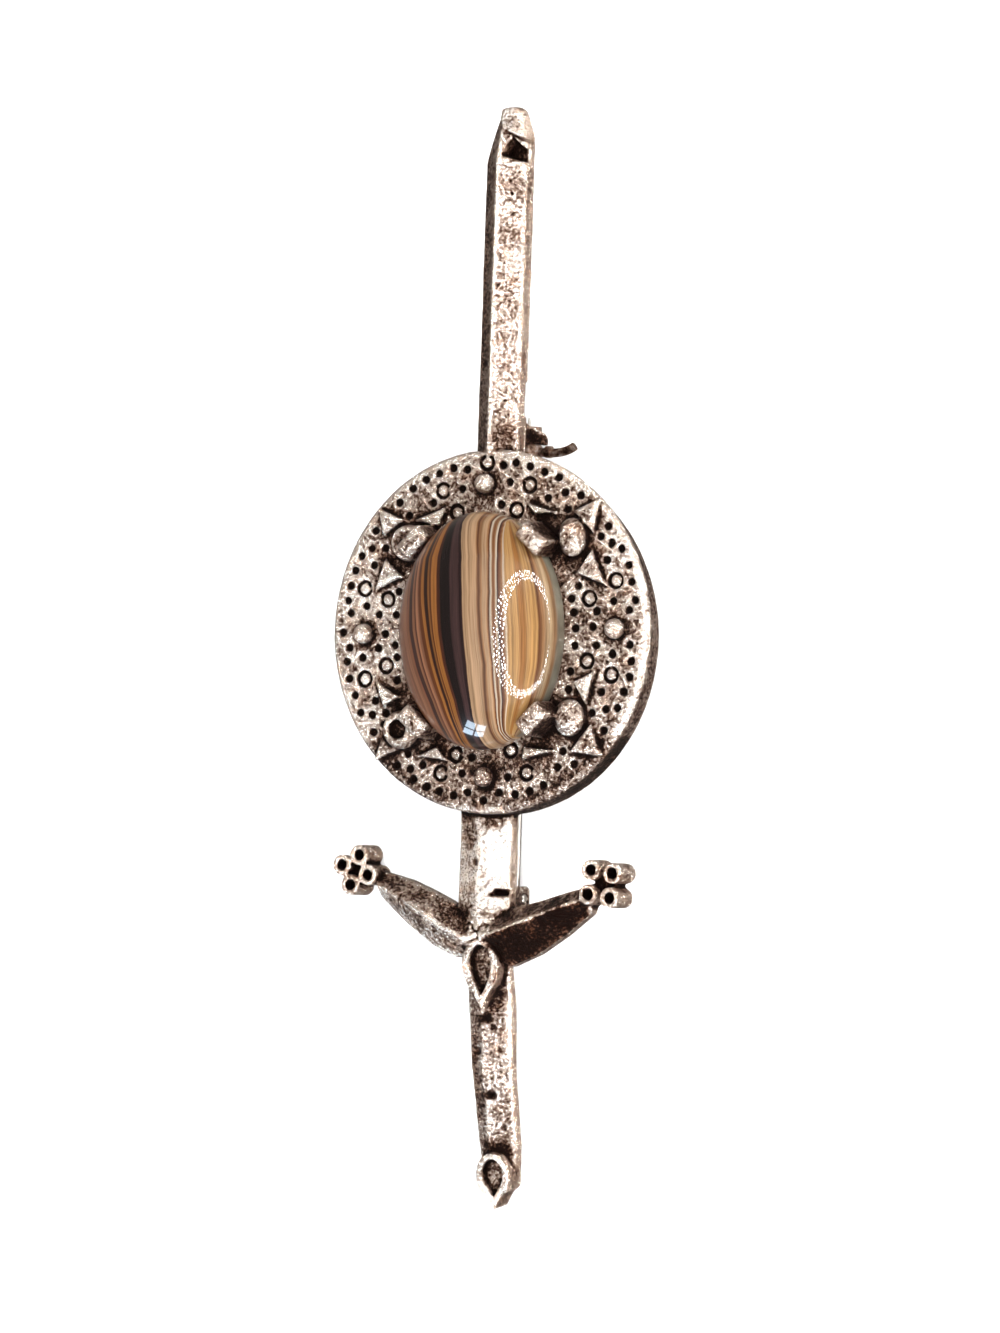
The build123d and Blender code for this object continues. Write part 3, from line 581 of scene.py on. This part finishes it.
agate, tree, n = new_material("banded_agate")
place = flat_place(tree)
n.update(add_nodes(tree, [
    ("band_place", "ShaderNodeAttribute", {"attribute_name": "band_place"}),
    ("split", "ShaderNodeSeparateXYZ", {}),
    ("tremble", "ShaderNodeTexNoise", {"Scale": 0.35, "Detail": 2.0, "Roughness": 0.5}),
    ("tremble_mm", "ShaderNodeMath", {"operation": "MULTIPLY_ADD", 1: band_tremble, 2: -0.5 * band_tremble}),
    ("across", "ShaderNodeMath", {"operation": "ADD"}),
    ("left_share", "ShaderNodeMapRange", {"From Min": -stone_half[0], "From Max": ramps_meet}),
    ("right_share", "ShaderNodeMapRange", {"From Min": ramps_meet, "From Max": stone_half[0]}),
    ("left", "ShaderNodeValToRGB", {}),
    ("right", "ShaderNodeValToRGB", {}),
    ("which", "ShaderNodeMath", {"operation": "GREATER_THAN", 1: ramps_meet}),
    ("both", "ShaderNodeMix", {"data_type": "RGBA"}),
    ("drawn_out", "ShaderNodeCombineXYZ", {}),
    ("y_slow", "ShaderNodeMath", {"operation": "MULTIPLY", 1: 0.015}),
    ("hairlines", "ShaderNodeTexNoise", {"noise_dimensions": "2D", "Scale": 3.4, "Detail": 4.0,
                                         "Roughness": 0.8}),
    ("hairline", "ShaderNodeMapRange", {"From Min": 0.36, "From Max": 0.64, "To Min": 0.55, "To Max": 1.2}),
    ("lined", "ShaderNodeMix", {"data_type": "RGBA", "blend_type": "MULTIPLY", "Factor": 1.0}),
]))
left_width, right_width = stone_half[0] + ramps_meet, stone_half[0] - ramps_meet
ramp(n["left"], [((x + stone_half[0]) / left_width, colour) for x, colour in left_bands])
ramp(n["right"], [((x - ramps_meet) / right_width, colour) for x, colour in right_bands])
tree.links.new(place, n["split"].inputs[0])
tree.links.new(place, n["tremble"].inputs["Vector"])
wire(tree, n, [
    ("tremble", 0, "tremble_mm", 0), ("band_place", "Fac", "across", 0), ("tremble_mm", 0, "across", 1),
    ("across", 0, "left_share", 0), ("across", 0, "right_share", 0), ("left_share", 0, "left", 0),
    ("right_share", 0, "right", 0), ("across", 0, "which", 0), ("which", 0, "both", "Factor"),
    ("left", 0, "both", "A"), ("right", 0, "both", "B"), ("across", 0, "drawn_out", 0),
    ("split", "Y", "y_slow", 0), ("y_slow", 0, "drawn_out", 1), ("drawn_out", 0, "hairlines", 0),
    ("hairlines", 0, "hairline", 0), ("both", "Result", "lined", "A"), ("hairline", 0, "lined", "B"),
    ("lined", "Result", "skin", "Base Color"),
])
n["skin"].inputs["Roughness"].default_value = 0.3
n["skin"].inputs["Specular IOR Level"].default_value = 0.1
n["skin"].inputs["Coat Weight"].default_value = 0.85
n["skin"].inputs["Coat Roughness"].default_value = 0.0

stone = new_object("banded_cabochon", cabochon_mesh())
dress(stone, agate)
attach(stone, "body")
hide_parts("cabochon")

# The pin and its rivet: a drawn steel stem with a flattened eye, hung between the hinge lugs on a steel
# rivet. Both are bright from their plating, with fine marks of the drawing along them.
steel_dark = (0.20, 0.18, 0.16)
steel_light = (0.62, 0.58, 0.54)
steel, tree, n = new_material("drawn_steel")
place = flat_place(tree)
n.update(add_nodes(tree, [
    ("stretch", "ShaderNodeMapping", {"Scale": (9.0, 0.5, 9.0)}),
    ("draw_marks", "ShaderNodeTexNoise", {"Scale": 1.0, "Detail": 3.0}),
    ("tone", "ShaderNodeValToRGB", {}),
    ("rough", "ShaderNodeMapRange", {"From Min": 0.3, "From Max": 0.7, "To Min": 0.22, "To Max": 0.42}),
    ("bumps", "ShaderNodeBump", {"Strength": 0.3, "Distance": 0.02 * MM}),
]))
ramp(n["tone"], [(0.3, steel_dark), (0.6, steel_light)])
tree.links.new(place, n["stretch"].inputs["Vector"])
wire(tree, n, [
    ("stretch", 0, "draw_marks", 0), ("draw_marks", 0, "tone", 0), ("tone", 0, "skin", "Base Color"),
    ("draw_marks", 0, "rough", 0), ("rough", 0, "skin", "Roughness"), ("draw_marks", 0, "bumps", "Height"),
    ("bumps", 0, "skin", "Normal"),
])
n["skin"].inputs["Metallic"].default_value = 1.0
dress(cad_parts["pin_stem"], steel)
dress(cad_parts["hinge_rivet"], steel)

# The catch's turning ring with its thumb lever: brass under a worn plating, gone dark and coppery. It sits in
# the round of the hook, which holds it and lets it turn.
brass_dark = (0.07, 0.04, 0.028)
brass_copper = (0.28, 0.18, 0.13)
plating_left = (0.55, 0.48, 0.43)
brass, tree, n = new_material("tarnished_brass")
place = flat_place(tree)
n.update(add_nodes(tree, [
    ("tarnish", "ShaderNodeTexNoise", {"Scale": 1.6, "Detail": 5.0, "Roughness": 0.65}),
    ("tone", "ShaderNodeValToRGB", {}),
    ("rough", "ShaderNodeMapRange", {"From Min": 0.35, "From Max": 0.65, "To Min": 0.28, "To Max": 0.5}),
    ("bumps", "ShaderNodeBump", {"Strength": 0.4, "Distance": 0.03 * MM}),
]))
ramp(n["tone"], [(0.38, brass_dark), (0.52, brass_copper), (0.68, plating_left)])
tree.links.new(place, n["tarnish"].inputs["Vector"])
wire(tree, n, [
    ("tarnish", 0, "tone", 0), ("tone", 0, "skin", "Base Color"), ("tarnish", 0, "rough", 0),
    ("rough", 0, "skin", "Roughness"), ("tarnish", 0, "bumps", "Height"), ("bumps", 0, "skin", "Normal"),
])
n["skin"].inputs["Metallic"].default_value = 0.95
dress(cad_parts["catch_lock"], brass)

# The floor is a sheet of white paper. A white tent throws soft light from all round, and the polished
# surfaces see its walls as a warm grey. The studio's places and sizes are in metres.
floor_half = 1.6
corner_signs = ((-1, -1), (1, -1), (1, 1), (-1, 1))
paper = bpy.data.meshes.new("paper")
paper.from_pydata([(x * floor_half, y * floor_half, 0) for x, y in corner_signs], [], [(0, 1, 2, 3)])
floor = new_object("paper_floor", paper)
white_paper, tree, n = new_material("white_paper")
n["skin"].inputs["Base Color"].default_value = (0.93, 0.93, 0.93, 1)
n["skin"].inputs["Roughness"].default_value = 0.9
n["skin"].inputs["Specular IOR Level"].default_value = 0.1
dress(floor, white_paper)
# mirrored in the stone, the paper would haze its edge
floor.visible_glossy = False

tent = bpy.data.worlds.new("tent")
bpy.context.scene.world = tent
tent.use_nodes = True
tree = tent.node_tree
n = {"tent": tree.nodes["Background"], "out": tree.nodes["World Output"]}
n.update(add_nodes(tree, [
    ("rays", "ShaderNodeLightPath", {}),
    ("walls", "ShaderNodeBackground", {"Color": (0.34, 0.30, 0.27, 1), "Strength": 0.9}),
    ("choice", "ShaderNodeMixShader", {}),
]))
n["tent"].inputs["Color"].default_value = (1, 1, 1, 1)
n["tent"].inputs["Strength"].default_value = 1.0
wire(tree, n, [
    ("rays", "Is Glossy Ray", "choice", 0), ("tent", 0, "choice", 1), ("walls", 0, "choice", 2),
    ("choice", 0, "out", 0),
])

# The key light is an oval ring of small lamps, hung above the brooch and to its right. The stone mirrors it
# as a ring of points.
ring_distance = 0.4
# how far it hangs to the right of the camera, then its half width and half height, which go with its distance
ring_swing = math.radians(34.8)
ring_half = (1.17 * ring_distance, 0.82 * ring_distance)
# how far the rows spread, as shares of the half width and the half height
ring_band = (0.19, 0.10)
lamp_rows = 4
row_lamps = 84
lamp_radii = (0.004, 0.009)
lamp_strength = 80.0
# where the camera looks, then the ways to the camera, up its picture and to its right
view_middle = Vector((0.779, -0.726, 8.618)) * MM
toward = Vector((0.157, -0.0387, 0.9868)).normalized()
upward = Vector((0.0089, 0.9993, 0.0377))
rightward = upward.cross(toward).normalized()


def glowing(name, colour, strength):
    """A material that gives off light."""
    made = bpy.data.materials.new(name)
    made.use_nodes = True
    made.node_tree.nodes.clear()
    n = add_nodes(made.node_tree, [
        ("glow", "ShaderNodeEmission", {"Color": (*colour, 1), "Strength": strength}),
        ("out", "ShaderNodeOutputMaterial", {}),
    ])
    wire(made.node_tree, n, [("glow", 0, "out", "Surface")])
    return made


def add_light(name, shape, material):
    """A glowing shape of the studio, unseen by the camera."""
    data = bpy.data.meshes.new(name)
    shape.to_mesh(data)
    shape.free()
    light = new_object(name, data)
    dress(light, material)
    light.visible_camera = False


def facing_back(spot):
    """The turn that makes a flat shape at the spot face the middle."""
    return (-spot).to_track_quat("Z", "Y").to_matrix().to_4x4()


aim = (toward * math.cos(ring_swing) + rightward * math.sin(ring_swing)).normalized()
side = upward.cross(aim).normalized()
rise = aim.cross(side)
scatter = np.random.default_rng(7)
lamps = bmesh.new()
middle_row = 0.5 * (lamp_rows - 1)
for row in range(lamp_rows):
    for k in range(row_lamps):
        turn = 2 * math.pi * (k + 0.5 * (row % 2) + 0.5 * (scatter.random() - 0.5)) / row_lamps
        spread = (row - middle_row) / middle_row + 0.4 * (scatter.random() - 0.5)
        wide = ring_half[0] * (1 + ring_band[0] * spread)
        high = ring_half[1] * (1 + ring_band[1] * spread)
        spot = aim * ring_distance + side * (wide * math.cos(turn)) + rise * (high * math.sin(turn))
        at = Matrix.Translation(spot + view_middle) @ facing_back(spot)
        radius = lamp_radii[0] + (lamp_radii[1] - lamp_radii[0]) * scatter.random()
        bmesh.ops.create_circle(lamps, cap_ends=True, segments=8, radius=radius, matrix=at)
add_light("lamp_ring", lamps, glowing("lamp_glow", (1, 1, 1), lamp_strength))

# A large soft roof of light hangs overhead and a little to the right. A small window, its four panes apart,
# stands low in front and to the left.
roof_half = (1.65, 1.0)
pane_half = 0.088
pane_step = 0.105
panels = (
    ("soft_roof", Vector((0.06, 0.0, 1.0)), 1.3, [(0, 0, *roof_half)], (1.0, 0.98, 0.95), 1.0),
    ("window", Vector((-0.41, -0.88, 0.16)), 1.0,
     [(x * pane_step, y * pane_step, pane_half, pane_half) for x in (-1, 1) for y in (-1, 1)],
     (0.66, 0.83, 1.0), 20.0),
)
for name, toward_panel, distance, panes, colour, strength in panels:
    toward_panel.normalize()
    panel = bmesh.new()
    for x, y, wide, high in panes:
        panel.faces.new([panel.verts.new((x + a * wide, y + b * high, 0)) for a, b in corner_signs])
    panel.transform(Matrix.Translation(toward_panel * distance) @ facing_back(toward_panel))
    add_light(name, panel, glowing(name, colour, strength))

# The camera looks down at the photograph's angle. Its lens is long enough for the brooch to stand in the
# frame as it does there, where so many pixels make a millimetre at the stone.
photo_height = 1333
pixels_per_mm = 11.95
sensor_height = 24.0
camera_distance = 0.6
camera_data = bpy.data.cameras.new("camera")
camera_data.sensor_fit = "VERTICAL"
camera_data.sensor_height = sensor_height
camera_data.lens = sensor_height * camera_distance / (photo_height / pixels_per_mm * MM)
camera_data.clip_start = 0.01
camera_data.clip_end = 10.0
camera = new_object("camera", camera_data)
pose = Matrix((rightward, toward.cross(rightward), toward)).transposed().to_4x4()
pose.translation = view_middle + toward * camera_distance
camera.matrix_world = pose
bpy.context.scene.camera = camera
bpy.context.scene.view_settings.view_transform = "Standard"
